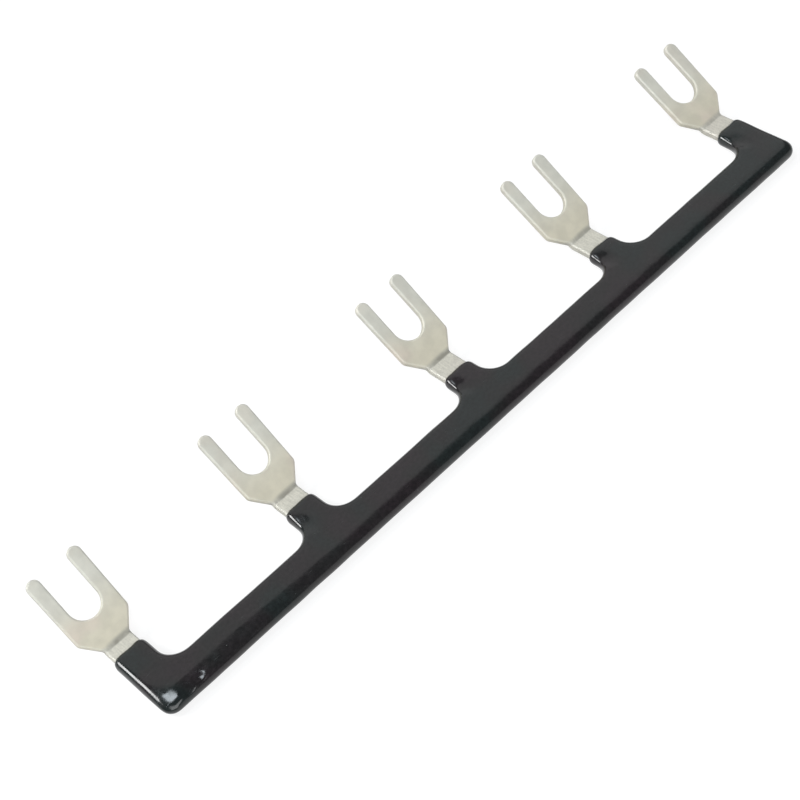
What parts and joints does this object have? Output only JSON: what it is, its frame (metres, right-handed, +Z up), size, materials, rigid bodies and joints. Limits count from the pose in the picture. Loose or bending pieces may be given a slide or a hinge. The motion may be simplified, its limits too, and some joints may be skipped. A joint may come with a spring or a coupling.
{
  "type": "insulated crossover bar",
  "caption": "Fork-type crossover bar: a stamped metal comb strip with raised U-slot forks, its bar and tab roots sleeved in a dipped black plastic coat.",
  "frame": {"origin": "middle of the flat underside of the coated bar, on the bar's centre line", "axes": "+X along the bar, +Y from the bar towards the forks, +Z up, out of the surface that the bar rests on; the forks rise to +Y and +Z"},
  "size_m": [0.116, 0.023, 0.0088],
  "materials": {
    "tinned_strip": "dull tin plating",
    "black_coat": "semi-gloss dipped soft plastic"
  },
  "bodies": {
    "root": {"fork_strip": "tinned_strip", "dipped_coat": "black_coat"}
  },
  "joints": []
}
